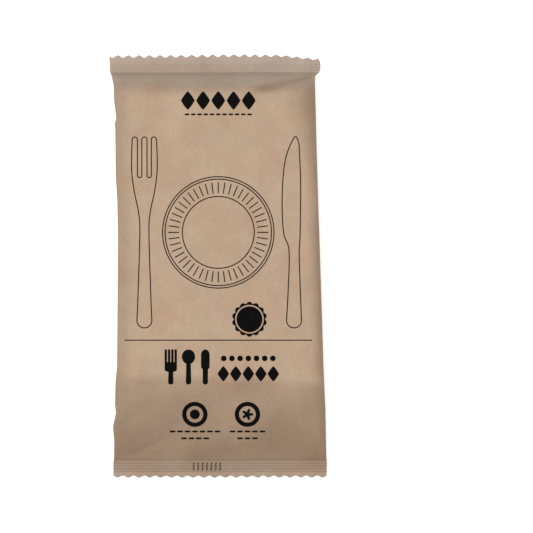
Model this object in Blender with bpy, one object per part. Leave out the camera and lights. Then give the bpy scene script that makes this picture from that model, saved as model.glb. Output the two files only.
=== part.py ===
"""Sealed kraft paper pack of wooden cutlery, lying on its back with the printed face up.

One web of paper is folded into a flat tube round the cutlery. A fin seal closes the tube along the
middle of the back, and a ribbed crimp with a zigzag cut closes each end. Nothing inside can be seen or
reached, so the pack is one solid.

The solid is a loft. Each station along the pack is one closed section: the printed face, the two folded
sides and the back. At a crimp the section is a flat strip, and between the crimps it is a flat box with
half-round sides.

Frame: the origin is at the bottom centre of the bounding box, +X runs across the pack, +Y runs towards
the head crimp, and +Z points up, out of the printed face. Lengths are millimetres until the mesh is
made, which is in metres.
"""

import math
from collections import namedtuple

import bmesh
import bpy

MM = 0.001

# Whole pack
PACK_LENGTH = 187.6
BODY_THICKNESS = 13.0
TEETH = 20  # teeth of the zigzag cut across each end
TOOTH_DEPTH = 1.3

# Crimps, where the layers of paper are pressed into one ribbed strip
CRIMP_THICKNESS = 0.6
CRIMP_MARGIN = 2.2  # plain strip between the roots of the teeth and the first rib
RIBS = 4
RIB_DEPTH = 0.2
HEAD_RIB_PITCH = 1.1
TAIL_RIB_PITCH = 1.2
HEAD_CRIMP_LIFT = 4.5  # height of a crimp's mid-plane above the table
TAIL_CRIMP_LIFT = 3.0

# Slopes from the crimps to the full thickness. On the printed face the paper hangs like the side of a
# tent, steep at the crimp and level at the top.
HEAD_SHOULDER = 7.0  # short and steep on the printed face
TAIL_SHOULDER = 37.0  # long and gentle, past the ends of the cutlery
HEAD_STEEPNESS = 1.9
TAIL_STEEPNESS = 1.7
HEAD_HEEL = 9.0  # the same on the back
TAIL_HEEL = 12.0

# Fin seal on the back, folded over to -X and pressed flat. A narrow groove shows each of its edges.
FIN_LEFT = -11.0
FIN_RIGHT = 1.6
GROOVE_HALF_WIDTH = 0.4
GROOVE_DEPTH = 0.3

# Outline of the two long sides, as (Y, left X, right X). The pack widens a little towards the tail, and
# both sides step in just inside each crimp, where the tube is at its fullest.
SIDE_STATIONS = (
    (-93.8, -46.5, 48.3),
    (-85.9, -46.5, 48.3),
    (-82.0, -46.2, 48.1),
    (-59.0, -45.4, 47.4),
    (-28.0, -44.6, 46.2),
    (12.0, -44.3, 45.0),
    (52.0, -45.3, 43.7),
    (79.0, -46.1, 43.0),
    (86.1, -47.9, 45.1),
    (93.8, -48.3, 45.5),
)

KRAFT_PAPER = (0.50, 0.37, 0.25, 1.0)

Station = namedtuple("Station", "y top bottom tooth")


def ease(share):
    """Smooth rise from 0 to 1 as share runs from 0 to 1."""
    share = min(max(share, 0.0), 1.0)
    return share * share * (3.0 - 2.0 * share)


def tent(share, steepness):
    """Rise from 0 to 1 that starts steep and ends level."""
    share = min(max(share, 0.0), 1.0)
    return 1.0 - (1.0 - share) ** steepness


def sides_at(y):
    """Left and right X of the pack at one Y, eased between the stations."""
    for low, high in zip(SIDE_STATIONS, SIDE_STATIONS[1:]):
        if y <= high[0]:
            share = ease((y - low[0]) / (high[0] - low[0]))
            return tuple(a + (b - a) * share for a, b in zip(low[1:], high[1:]))
    return SIDE_STATIONS[-1][1:]


def crimp_stations(end, lift, rib_pitch):
    """Stations of one crimp, from its zigzag cut to its inner crease. end is 1 at the head, -1 at the tail."""
    cut = end * PACK_LENGTH / 2
    half = CRIMP_THICKNESS / 2
    stations = [Station(cut, lift + half, lift - half, end * TOOTH_DEPTH)]
    first_rib = cut - end * (TOOTH_DEPTH + CRIMP_MARGIN)
    for step in range(2 * RIBS + 1):
        y = first_rib - end * step * rib_pitch / 2
        height = lift + RIB_DEPTH / 2 * (1 if step % 2 else -1)
        stations.append(Station(y, height + half, height - half, 0.0))
    return stations


def slope_station(y, head_crease, tail_crease):
    """Station on the body, with the face and the back rising away from the nearer crimp."""
    from_head = head_crease - y
    from_tail = y - tail_crease
    half = CRIMP_THICKNESS / 2
    head_top = tent(from_head / HEAD_SHOULDER, HEAD_STEEPNESS)
    tail_top = tent(from_tail / TAIL_SHOULDER, TAIL_STEEPNESS)
    head_back = ease(from_head / HEAD_HEEL)
    tail_back = ease(from_tail / TAIL_HEEL)
    if from_head < from_tail:
        lift, rise, sink = HEAD_CRIMP_LIFT, head_top * tail_top, head_back
    else:
        lift, rise, sink = TAIL_CRIMP_LIFT, head_top * tail_top, tail_back
    top = lift + half + rise * (BODY_THICKNESS - lift - half)
    bottom = (lift - half) * (1.0 - sink)
    return Station(y, top, bottom, 0.0)


def body_stations(head_crease, tail_crease):
    """Stations between the creases: close together on the slopes, far apart on the flat."""
    head_steps = [HEAD_HEEL * share for share in (0.15, 0.3, 0.45, 0.6, 0.8, 1.0)]
    tail_steps = [TAIL_SHOULDER * share for share in (0.04, 0.1, 0.17, 0.25, 0.33, 0.45, 0.6, 0.8, 1.0)]
    flat_start = head_crease - HEAD_HEEL
    flat_end = tail_crease + TAIL_SHOULDER
    flat_bays = 7
    heights = [head_crease - step for step in head_steps]
    heights += [flat_start + (flat_end - flat_start) * bay / flat_bays for bay in range(1, flat_bays)]
    heights += [tail_crease + step for step in reversed(tail_steps)]
    return [slope_station(y, head_crease, tail_crease) for y in heights]


def all_stations():
    """Every station of the loft, from the head's cut edge to the tail's."""
    head = crimp_stations(1, HEAD_CRIMP_LIFT, HEAD_RIB_PITCH)
    tail = crimp_stations(-1, TAIL_CRIMP_LIFT, TAIL_RIB_PITCH)
    return head + body_stations(head[-1].y, tail[-1].y) + tail[::-1]


def girth_columns():
    """Places across the web, from -1 at the left fold to 1 at the right.

    They fall on every tip and root of the teeth, and on the edges and floor of the fin's two grooves.
    """
    half_width = (SIDE_STATIONS[0][2] - SIDE_STATIONS[0][1]) / 2
    columns = [step / TEETH - 1.0 for step in range(2 * TEETH + 1)]
    for edge in (FIN_LEFT, FIN_RIGHT):
        for offset in (-GROOVE_HALF_WIDTH, 0.0, GROOVE_HALF_WIDTH):
            columns.append((edge + offset) / half_width)
    return sorted(columns)


def tooth_height(column):
    """Height of the zigzag cut at one place across: 0 at a tip and -1 at a root."""
    return -abs(1.0 - (column + 1.0) * TEETH % 2.0)


def groove_depth(column):
    """Depth of the fin's grooves in the back at one place across."""
    half_width = (SIDE_STATIONS[0][2] - SIDE_STATIONS[0][1]) / 2
    away = min(abs(column * half_width - edge) for edge in (FIN_LEFT, FIN_RIGHT))
    return GROOVE_DEPTH * max(0.0, 1.0 - away / GROOVE_HALF_WIDTH)


def section_point(column, station, face):
    """Point of one station's section. face is 1 on the printed face and -1 on the back.

    The paper keeps its length across: it runs flat, then round the half-round side to mid-height.
    """
    left, right = sides_at(station.y)
    rise = (station.top - station.bottom - CRIMP_THICKNESS) / 2
    flat = (right - left) / 2 - rise
    run = abs(column) * (flat + rise * math.pi / 2)
    if run <= flat or rise <= 0.0:
        across, lift = run, rise
    else:
        turn = (run - flat) / rise
        across, lift = flat + rise * math.sin(turn), rise * math.cos(turn)
    x = (left + right) / 2 + math.copysign(across, column)
    y = station.y + station.tooth * tooth_height(column)
    z = (station.top + station.bottom) / 2 + face * (CRIMP_THICKNESS / 2 + lift)
    if face < 0:
        z += groove_depth(column)
    return x * MM, y * MM, z * MM


def loft(name, sections):
    """Closed mesh through a list of closed sections, each bridged to the next and both ends capped."""
    mesh = bmesh.new()
    rings = [[mesh.verts.new(point) for point in section] for section in sections]
    for ring, following in zip(rings, rings[1:]):
        for i, vert in enumerate(ring):
            after = (i + 1) % len(ring)
            mesh.faces.new((vert, ring[after], following[after], following[i]))
    for ring in (rings[0], rings[-1]):
        half = len(ring) // 2
        for i in range(half - 1):
            mesh.faces.new((ring[i], ring[i + 1], ring[-2 - i], ring[-1 - i]))
    bmesh.ops.recalc_face_normals(mesh, faces=mesh.faces)
    bmesh.ops.triangulate(mesh, faces=mesh.faces)
    data = bpy.data.meshes.new(name)
    mesh.to_mesh(data)
    mesh.free()
    return data


def centre_on_base(mesh):
    """Moves the mesh so that the origin is at the bottom centre of its bounding box."""
    corners = [vert.co.copy() for vert in mesh.vertices]
    low = [min(corner[axis] for corner in corners) for axis in range(3)]
    high = [max(corner[axis] for corner in corners) for axis in range(3)]
    shift = ((low[0] + high[0]) / 2, (low[1] + high[1]) / 2, low[2])
    for vert in mesh.vertices:
        for axis in range(3):
            vert.co[axis] -= shift[axis]


def kraft_paper():
    """Matte brown kraft paper."""
    material = bpy.data.materials.new("kraft_paper")
    material.use_nodes = True
    shader = material.node_tree.nodes["Principled BSDF"]
    shader.inputs["Base Color"].default_value = KRAFT_PAPER
    shader.inputs["Roughness"].default_value = 0.85
    shader.inputs["Metallic"].default_value = 0.0
    return material


def cutlery_pack():
    """The sealed pack: printed face, folded sides, back with its fin seal, and both crimps."""
    columns = girth_columns()
    sections = []
    for station in all_stations():
        face = [section_point(column, station, 1) for column in columns]
        back = [section_point(column, station, -1) for column in reversed(columns)]
        sections.append(face + back)
    mesh = loft("cutlery_pack", sections)
    centre_on_base(mesh)
    mesh.materials.append(kraft_paper())
    mesh.shade_smooth()
    mesh.set_sharp_from_angle(angle=math.radians(40))
    pack = bpy.data.objects.new("cutlery_pack", mesh)
    bpy.context.scene.collection.objects.link(pack)
    return pack


def main():
    for old in list(bpy.data.objects):
        bpy.data.objects.remove(old)
    cutlery_pack()


main()
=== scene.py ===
# %% [markdown]
# # A sealed paper pack of wooden cutlery
#
# A pack like this is made on a flow-wrapping machine. One web of brown kraft paper is folded into a tube
# round a block of flat wooden forks. Its two edges are sealed together along the back, and hot ribbed
# jaws crimp the tube shut before and after the block, while a zigzag knife cuts it off.
#
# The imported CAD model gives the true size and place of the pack. This lesson puts a finely modelled paper
# wrap in its place: a lofted sheet with real ribs, teeth, slopes and creases, a fin seal on the back, and
# print laid on the paper as thin layers of ink.

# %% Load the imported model
import math

import bpy
import numpy as np
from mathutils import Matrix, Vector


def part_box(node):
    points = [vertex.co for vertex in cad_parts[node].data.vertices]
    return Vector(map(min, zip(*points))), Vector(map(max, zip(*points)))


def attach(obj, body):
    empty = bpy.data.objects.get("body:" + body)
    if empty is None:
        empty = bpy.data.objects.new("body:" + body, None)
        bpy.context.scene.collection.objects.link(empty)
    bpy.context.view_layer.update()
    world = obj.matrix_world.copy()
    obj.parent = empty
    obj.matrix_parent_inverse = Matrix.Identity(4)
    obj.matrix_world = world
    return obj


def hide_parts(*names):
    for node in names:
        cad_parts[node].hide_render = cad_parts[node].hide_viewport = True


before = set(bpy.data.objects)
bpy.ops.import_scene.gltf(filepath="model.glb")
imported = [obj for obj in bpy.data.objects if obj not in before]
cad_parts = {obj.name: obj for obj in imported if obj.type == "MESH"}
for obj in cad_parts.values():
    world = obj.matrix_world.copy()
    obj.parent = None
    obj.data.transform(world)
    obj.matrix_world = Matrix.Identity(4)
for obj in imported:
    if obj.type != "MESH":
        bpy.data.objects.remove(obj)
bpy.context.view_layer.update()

# %% [markdown]
# ## Units and driving sizes
#
# Paper is thin and its creases are small, so every size here is in millimetres, and a mesh is turned to
# metres at the moment it is made. The overall size comes from the CAD box. The rest are the sizes that a
# maker of wrapping jaws would write down: the pitch of the ribs and teeth, and the width of the seals.

# %% Sizes in millimetres
MM = 0.001

pack_low, pack_high = (np.array(corner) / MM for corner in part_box("cutlery_pack"))
HALF_LENGTH = pack_high[1]
THICKNESS = pack_high[2]

CRIMP_THICKNESS = 0.5  # the pressed layers of both faces
FIN_THICKNESS = 0.3  # the folded fin, which the back lies on
RIBS = 4

# lift of the crimp above the table, ribs and how much painted shade darkens their grooves, plain margin, and
# teeth
HEAD = {"sign": 1, "lift": 4.5, "rib_pitch": 1.1, "margin": 3.5}
HEAD |= {"rib_depth": 0.20, "groove_shade": 0.22, "tooth_pitch": 4.68, "tooth_at": -44.45, "tooth_depth": 1.3}
TAIL = {"sign": -1, "lift": 3.0, "rib_pitch": 1.2, "margin": 2.9}
TAIL |= {"rib_depth": 0.34, "groove_shade": 1.0, "tooth_pitch": 4.79, "tooth_at": -25.5, "tooth_depth": 1.05}
for end in (HEAD, TAIL):
    end["cut"] = end["sign"] * HALF_LENGTH
    end["first_rib"] = end["cut"] - end["sign"] * end["margin"]
    end["crease"] = end["first_rib"] - end["sign"] * RIBS * end["rib_pitch"]

# slopes from the crimps to the full thickness: on the printed face, how they bend, and on the back
HEAD_SHOULDER = 7.0
TAIL_SHOULDER = 37.0
HEAD_STEEPNESS = 1.9
TAIL_STEEPNESS = 1.7
HEAD_HEEL = 9.0
TAIL_HEEL = 12.0
TOP_ROOM = 0.15  # left under the top of the CAD box for raised creases and the ink
print("pack length", 2 * HALF_LENGTH, "mm, thickness", THICKNESS, "mm")

# %% [markdown]
# ## The outline of the two long sides
#
# Paper pulled over a loose block doesn't give straight sides. Each side is written as a few places, as
# (Y, X), read as a line that is then smoothed, so that a kink stays a soft kink. The crimps are wider
# than the body, because there the tube is pressed flat.

# %% Side outlines
LEFT_SIDE = (
    (-93.8, -46.5), (-86.6, -46.5), (-85.4, -46.2), (-77.0, -46.1), (-71.0, -46.6), (-65.0, -45.2),
    (-61.0, -45.6), (-51.0, -45.3), (-44.0, -44.6), (-28.0, -44.5), (12.0, -44.2), (29.0, -44.5),
    (40.0, -45.2), (60.0, -45.4), (63.5, -45.6), (65.5, -44.9), (73.0, -45.9), (80.0, -46.1),
    (84.0, -47.0), (86.4, -48.0), (90.0, -48.1), (93.8, -48.3),
)
RIGHT_SIDE = (
    (-93.8, 48.2), (-86.6, 48.3), (-85.0, 48.1), (-63.0, 47.6), (-46.0, 46.8), (-30.0, 46.3),
    (-1.5, 45.4), (29.0, 44.4), (52.0, 43.7), (65.0, 43.4), (83.5, 42.9), (84.6, 43.1),
    (86.2, 45.0), (88.0, 45.4), (91.0, 45.3), (93.8, 44.6),
)
SIDE_BLUR = 0.9  # mm each way over which a side is smoothed


def smooth_side(places, y):
    """Reads the X of a side at each y, averaged over the blur."""
    at, value = np.array(places).T
    taps = np.linspace(-1.0, 1.0, 9)
    weights = 1.0 - 0.8 * np.abs(taps)
    lines = [np.interp(y + SIDE_BLUR * tap, at, value) for tap in taps]
    return np.average(lines, axis=0, weights=weights)


print("side outlines:", len(LEFT_SIDE), "and", len(RIGHT_SIDE), "places")

# %% [markdown]
# ## Heights along the pack
#
# From each crimp the printed face climbs to the full thickness. At the head the block of forks is close
# behind the crimp, so the slope is short and steep. At the tail the block ends early, and the paper hangs
# from its edge down to the crimp like the side of a tent: steep near the crimp, almost flat at the top.
# The back lies on the table and lifts only near the crimps.

# %% Height profiles


def ease(share):
    """Smooth rise from 0 to 1."""
    share = np.clip(share, 0.0, 1.0)
    return share * share * (3.0 - 2.0 * share)


def tent(share, steepness):
    """Rise from 0 to 1 that starts steep and ends almost level, as hanging paper does."""
    return 1.0 - (1.0 - np.clip(share, 0.0, 1.0)) ** steepness


def heights_at(y):
    """Height of the printed face and of the back, down the middle of the pack."""
    from_head = HEAD["crease"] - y
    from_tail = y - TAIL["crease"]
    nearer_head = from_head < from_tail
    lift = np.where(nearer_head, HEAD["lift"], TAIL["lift"])
    rise = tent(from_head / HEAD_SHOULDER, HEAD_STEEPNESS) * tent(from_tail / TAIL_SHOULDER, TAIL_STEEPNESS)
    sink = np.where(nearer_head, ease(from_head / HEAD_HEEL), ease(from_tail / TAIL_HEEL))
    half = CRIMP_THICKNESS / 2
    top = lift + half + rise * (THICKNESS - TOP_ROOM - lift - half)
    bottom = (lift - half) * (1.0 - sink) + FIN_THICKNESS * sink
    return top, bottom


# %% [markdown]
# ## Creases and dents in the printed face
#
# Kraft paper is stiff, so it doesn't ripple like cloth. It buckles into nearly flat facets with soft
# folds between them. Three things make that here: a ridged sum of waves for the random facets, a list of
# the few large folds, and the edge of the block of forks, where the paper starts to hang.

# %% Relief of the printed face


def waves(x, y, wavelength, count, seed):
    """Sum of waves in random directions, from about -1 to 1."""
    rng = np.random.default_rng(seed)
    total = np.zeros_like(x)
    for _ in range(count):
        angle = rng.uniform(0.0, math.tau)
        length = wavelength * rng.uniform(0.7, 1.5)
        phase = rng.uniform(0.0, math.tau)
        along = x * math.cos(angle) + y * math.sin(angle)
        total += np.sin(math.tau * along / length + phase)
    return total / math.sqrt(count)

FOLD_SHARPNESS = 1.4  # 2 would be a round fold, and 1 a pointed one


def fold(x, y, start, end, widths, depth):
    """One straight fold that widens from start to end: a valley where depth is negative."""
    (x0, y0), (x1, y1) = start, end
    length = math.hypot(x1 - x0, y1 - y0)
    ux, uy = (x1 - x0) / length, (y1 - y0) / length
    along = ((x - x0) * ux + (y - y0) * uy) / length
    away = np.abs((x - x0) * uy - (y - y0) * ux)
    width = widths[0] + (widths[1] - widths[0]) * np.clip(along, 0.0, 1.0)
    fade = ease(along / 0.15 + 0.5) * ease((1.0 - along) / 0.35 + 0.3)
    return depth * fade * np.exp(-((away / width) ** FOLD_SHARPNESS))


# start, end, width at each of them
TUCK = ((43.4, 84.4), (15.0, 76.8), (0.7, 2.1))  # runs down from the notch at the head's right
TUCK_FACET = ((42.0, 86.0), (14.0, 80.6), (1.0, 1.7))  # the raised paper above it

# and depth
FOLDS = (
    (*TUCK, -1.5),
    (*TUCK_FACET, 0.6),
    ((-44.0, 78.0), (-27.0, 83.5), (1.6, 2.6), -0.4),
    ((-38.6, -83.4), (-21.5, -75.8), (1.4, 2.2), -0.8),  # soft diagonals in the hanging paper at the tail
    ((-45.0, -71.5), (-29.0, -63.0), (1.8, 2.8), -0.8),
    ((10.0, -79.5), (30.0, -82.5), (2.2, 2.8), -0.6),
    ((22.0, -60.0), (47.0, -70.0), (2.6, 3.2), -0.45),
    ((-30.0, -66.0), (-8.0, -84.0), (3.0, 3.2), 0.4),
    ((34.0, 66.0), (43.5, 50.0), (2.6, 2.8), -0.35),  # dents along the two sides
    ((-45.5, 66.0), (-36.0, 60.0), (1.6, 1.8), -0.35),
    ((-45.0, 20.0), (-39.0, 8.0), (1.8, 2.0), -0.25),
)


def face_relief(x, y):
    """Height that creases and dents add to the printed face."""
    hanging = 1.0 - ease((y + 50.0) / 6.0)
    shoulder = ease((y - 74.0) / 6.0)
    slack = 0.35 + 0.65 * np.maximum(hanging, shoulder)
    facets = -0.34 * np.abs(waves(x, y, 30.0, 7, seed=11)) * slack
    dents = 0.10 * waves(x, y, 15.0, 9, seed=23) * slack
    creases = 0.035 * waves(x, y, 5.0, 12, seed=31) * slack
    relief = facets + dents + creases
    for start, end, width, depth in FOLDS:
        relief = relief + fold(x, y, start, end, width, depth)
    return relief


# %% [markdown]
# ## The wrap as one lofted sheet
#
# The wrap is a ring of points at each of a few hundred stations along the pack: the printed face from the
# left fold to the right one, then the back. A real web can't stretch, so a point keeps its share of the
# width from one station to the next, also where the section turns from a flat strip into a box with round
# sides. Rows are close together where ribs and slopes need them, and further apart on the flat.
#
# The zigzag cut only moves the outermost row. The rows of the margin share out its movement, so the teeth
# have clean faces.

# %% Stations and teeth
FACE_COLUMNS = 160
BACK_COLUMNS = 96
MARGIN_ROWS = 6
ROWS_PER_RIB = 10
FINE_STEP = 0.42
COARSE_STEP = 0.86


def spaced(start, end, step):
    """Places from start towards end, without the end itself."""
    return np.linspace(start, end, max(2, int(abs(end - start) / step) + 1))[:-1]


def row_places():
    """Y of each row and its share of the zigzag, from the head's cut to the tail's."""
    near_head = HEAD["crease"] - HEAD_HEEL
    near_tail = TAIL["crease"] + TAIL_HEEL
    block_end = TAIL["crease"] + TAIL_SHOULDER
    share = np.linspace(1.0, 0.0, MARGIN_ROWS + 1)[:-1]
    rows = np.concatenate([
        HEAD["first_rib"] + HEAD["margin"] * share,
        spaced(HEAD["first_rib"], HEAD["crease"], HEAD["rib_pitch"] / ROWS_PER_RIB),
        spaced(HEAD["crease"], near_head, FINE_STEP),
        spaced(near_head, block_end, COARSE_STEP),
        spaced(block_end, near_tail, COARSE_STEP),
        spaced(near_tail, TAIL["crease"], FINE_STEP),
        spaced(TAIL["crease"], TAIL["first_rib"], TAIL["rib_pitch"] / ROWS_PER_RIB),
        [TAIL["first_rib"]],
        (TAIL["first_rib"] - TAIL["margin"] * share)[::-1],
    ])
    zigzag = np.zeros(len(rows))
    zigzag[:MARGIN_ROWS] = share
    zigzag[-MARGIN_ROWS:] = share[::-1]
    return rows, zigzag


def tooth_drop(x, end):
    """How far the cut falls short of the tooth tips at x, in millimetres."""
    turn = math.tau * (x - end["tooth_at"]) / end["tooth_pitch"]
    softness = 0.94
    wave = np.arcsin(softness * np.cos(turn)) / math.asin(softness)
    return end["tooth_depth"] * (1.0 - wave) / 2


def cut_offset(x, y):
    """Movement of the cut edge along Y: the teeth, and at the head a slight bow and a drooping corner."""
    bow = 0.3 * np.exp(-(((x - 8.0) / 22.0) ** 2))
    droop = 1.6 * ease((x - 24.0) / 24.0)
    shallow = 1.0 - 0.28 * ease((x - 18.0) / 12.0)
    head = bow - droop - shallow * tooth_drop(x, HEAD)
    tail = tooth_drop(x, TAIL)
    return np.where(y > 0, head, tail)


rows, zigzag = row_places()
print(len(rows), "rows,", FACE_COLUMNS, "columns on the face and", BACK_COLUMNS, "on the back")

# %% Sections of the wrap


def section(t, y, face):
    """Points of the printed face (face 1) or the back (-1) at girth shares t and rows y."""
    left = smooth_side(LEFT_SIDE, y)
    right = smooth_side(RIGHT_SIDE, y)
    top, bottom = heights_at(y)
    rise = np.maximum((top - bottom - CRIMP_THICKNESS) / 2, 1e-6)[:, None]  # never 0, as it divides
    flat = ((right - left) / 2)[:, None] - rise
    run = np.abs(t)[None, :] * (flat + rise * math.pi / 2)
    turn = np.clip((run - flat) / rise, 0.0, math.pi / 2)
    across = np.minimum(run, flat) + rise * np.sin(turn)
    lift = rise * np.cos(turn)
    x = ((left + right) / 2)[:, None] + np.sign(t)[None, :] * across
    z = ((top + bottom) / 2)[:, None] + face * (CRIMP_THICKNESS / 2 + lift)
    return x, np.repeat(y[:, None], len(t), axis=1), z


def crimp_wave(x, y):
    """Slow bend of the two crimps, which are stiff strips with nothing to hold them level."""
    head = ease((y - HEAD["crease"] + 3.0) / 4.0) * 0.45 * np.sin(x / 17.0 + 0.6)
    tail = ease((TAIL["crease"] + 3.0 - y) / 4.0) * 0.35 * np.sin(x / 21.0 + 2.0)
    return head + tail


def wrap_points(columns, face):
    """Points of one side of the wrap, as an array of rows by columns by three."""
    t = np.linspace(-1.0, 1.0, columns + 1)
    x, y, z = section(t, rows, face)
    body = ease((HEAD["crease"] - y) / 3.0) * ease((y - TAIL["crease"]) / 3.0)
    edge = ease((1.0 - np.abs(t)) / 0.10)[None, :]
    if face > 0:
        z = z + face_relief(x, y) * body * edge
    z = z + crimp_wave(x, y)
    y = y + zigzag[:, None] * cut_offset(x, y)
    return np.stack([x, y, z], axis=2)


face_points = wrap_points(FACE_COLUMNS, 1)
back_points = wrap_points(BACK_COLUMNS, -1)
print("face up to", round(float(face_points[..., 2].max()), 2), "mm high")

# %% [markdown]
# ## From points to a closed mesh
#
# Each ring runs over the face and back under it, so that the two folds at the sides are shared. The two
# cut ends are closed by a row of narrow faces.
#
# Three attributes are stored on the points. Kraft paper this thin lets some light through, and the pale
# wood inside sends it back, so the paper looks lighter where it touches the wood. The first attribute
# says how much, and it also carries painted shade: darker towards the side folds, on the steep head slope,
# down the tail slope and in the tuck's valley, with a painted highlight on the tuck's raised facet. The
# second says how hard the layers of a crimp are pressed together, and the third is painted shade on the
# steep slope beside the head crimp.

# %% Attributes of the paper
TAIL_PRESSURE = 0.3  # the tail crimp is pressed less hard than the head one
TAIL_CRIMP_CONTACT = 0.45  # and its layers lighten each other a little
SLOPE_SHADE_SHARE = 0.85  # how strongly painted shade darkens the short slope behind the head crimp
BACK_CONTACT = 0.75  # less light comes through at the back, which lies on the table
FIN_CONTACT = 0.55  # the fin lies over the wood too, and less comes through its folded layers


def wander(x, y):
    """Slow random drift of the places where the paper touches the wood, in millimetres."""
    return 1.3 * waves(x, y, 26.0, 5, seed=5)


def clear_of_side_shade(x, y):
    """Rise from 0 at the two side folds to 1 where the paper lies on the block: painted shade that darkens
    the paper towards both side folds.
    """
    from_left = x - smooth_side(LEFT_SIDE, y)
    from_right = smooth_side(RIGHT_SIDE, y) - x
    drift = wander(x, y)
    left = 0.55 * ease(from_left / 0.9) + 0.45 * ease((from_left - 1.0 + 0.4 * drift) / 7.5)
    right = tent((from_right + 0.3 * drift) / (6.5 + 14.0 * ease((y - 40.0) / 40.0)), 1.8)
    return left * right


def over_wood(x, y):
    """How much the wood inside lightens the face, 1 where the paper touches it and 0 where it hangs clear,
    together with painted shade at the sides, on the head slope, down the tail slope and in the tuck, and a
    painted highlight on the tuck's facet.
    """
    drift = wander(x, y)
    # painted shade on the steep slope under the head crimp
    head = 0.08 + 0.92 * ease((81.8 - y - 0.5 * drift) / 7.5)
    # darker down the tail: paper off the wood, and painted shade on the slope to the tail crimp
    block_end = ease((y + 51.8 + 0.04 * x + 0.5 * drift) / 5.0)
    hanging = np.clip((y - TAIL["crease"]) / TAIL_SHOULDER, 0.0, 1.0)
    slack = 0.11 * waves(x, y, 24.0, 6, seed=41) * (1.0 - block_end)
    # painted highlight on the tuck's raised facet and painted shade in its valley
    tuck_highlight_and_shade = 0.30 * fold(x, y, *TUCK_FACET, 1.0) - 0.65 * fold(x, y, *TUCK, 1.0)
    tail = 0.5 * block_end + 0.5 * hanging + slack
    crimp = TAIL_CRIMP_CONTACT * ease((TAIL["crease"] + 0.3 - y) / 0.6)
    return np.clip(clear_of_side_shade(x, y) * head * tail + tuck_highlight_and_shade + crimp, 0.0, 1.0)


def crimped(y):
    """How hard the layers are pressed together: most in the head crimp, less in the tail one."""
    head = ease((y - HEAD["crease"] + 0.3) / 0.6)
    tail = ease((TAIL["crease"] + 0.3 - y) / 0.6)
    return np.maximum(head, TAIL_PRESSURE * tail)


def rubbed(x, y):
    """Painted shade on the short slope behind the head crimp, left off the tucked fold so that the tuck's
    own painted light and shade show.
    """
    kept_off_tuck = 0.6 * fold(x, y, *TUCK, 1.0) + 0.2 * fold(x, y, *TUCK_FACET, 1.0)
    return SLOPE_SHADE_SHARE * ease((y - 74.5) / 10.0) * (1.0 - np.clip(kept_off_tuck, 0.0, 1.0))


# %% Mesh helpers


def new_object(name, points, faces):
    """Object at the origin with a smooth mesh, from points in millimetres."""
    mesh = bpy.data.meshes.new(name)
    mesh.from_pydata((np.asarray(points) * MM).tolist(), [], [list(face) for face in faces])
    mesh.shade_smooth()
    made = bpy.data.objects.new(name, mesh)
    bpy.context.scene.collection.objects.link(made)
    return made


def grid_faces(row_count, column_count, first=0, flip=False):
    """Quads of a grid of points that are numbered row by row."""
    faces = []
    for r in range(row_count - 1):
        for c in range(column_count - 1):
            a = first + r * column_count + c
            quad = (a, a + column_count, a + column_count + 1, a + 1)
            faces.append(quad[::-1] if flip else quad)
    return faces


def store_attribute(made, name, values):
    """Stores one number for each point of the mesh."""
    attribute = made.data.attributes.new(name, "FLOAT", "POINT")
    attribute.data.foreach_set("value", np.asarray(values, dtype=np.float32))


def store_even(made, wood_glow_and_shade, pressure):
    """Gives a whole piece the same contact with the wood and the same pressure."""
    count = len(made.data.vertices)
    store_attribute(made, "over_wood", np.full(count, wood_glow_and_shade))
    store_attribute(made, "crimped", np.full(count, pressure))


# %% Paper wrap


def wrap_faces(row_count, face_count, back_count):
    """Faces of the wrap: the face, the back, the two folded sides and the two cut ends."""
    back_first = row_count * face_count
    faces = grid_faces(row_count, face_count)
    faces += grid_faces(row_count, back_count, back_first, flip=True)
    for r in range(row_count - 1):
        face_row, next_face_row = r * face_count, (r + 1) * face_count
        back_row, next_back_row = back_first + r * back_count, back_first + (r + 1) * back_count
        faces.append((face_row, back_row, next_back_row, next_face_row))
        right = (face_row + face_count - 1, next_face_row + face_count - 1)
        faces.append((right[0], right[1], next_back_row + back_count - 1, back_row + back_count - 1))
    return faces


def cut_end_faces(row, face_count, back_count, row_count, flip):
    """Narrow faces that close one cut end. The two sides have different numbers of points."""
    face_row = [row * face_count + c for c in range(face_count)]
    back_first = row_count * face_count
    back_row = [back_first + row * back_count + c for c in range(back_count)]
    faces = []
    f = b = 0
    while f < face_count - 1 or b < back_count - 1:
        face_share = (f + 1) / (face_count - 1)
        back_share = (b + 1) / (back_count - 1)
        if b == back_count - 1 or (f < face_count - 1 and face_share <= back_share):
            corner = (face_row[f], face_row[f + 1], back_row[b])
            f += 1
        else:
            corner = (face_row[f], back_row[b + 1], back_row[b])
            b += 1
        faces.append(corner[::-1] if flip else corner)
    return faces


row_count, face_count, back_count = len(rows), FACE_COLUMNS + 1, BACK_COLUMNS + 1
all_faces = wrap_faces(row_count, face_count, back_count)
all_faces += cut_end_faces(0, face_count, back_count, row_count, flip=False)
all_faces += cut_end_faces(row_count - 1, face_count, back_count, row_count, flip=True)
face_list, back_list = face_points.reshape(-1, 3), back_points.reshape(-1, 3)
all_points = np.concatenate([face_list, back_list])
wrap = new_object("paper_wrap", all_points, all_faces)
# the first attribute is the wood's glow together with painted shade, the third is painted shade on the head
# slope
face_contact = over_wood(face_list[:, 0], face_list[:, 1])
back_contact = BACK_CONTACT * clear_of_side_shade(back_list[:, 0], back_list[:, 1])
store_attribute(wrap, "over_wood", np.concatenate([face_contact, back_contact]))
store_attribute(wrap, "crimped", crimped(all_points[:, 1]))
store_attribute(wrap, "rubbed", rubbed(all_points[:, 0], all_points[:, 1]))
print("paper wrap:", len(wrap.data.polygons), "faces")

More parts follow.
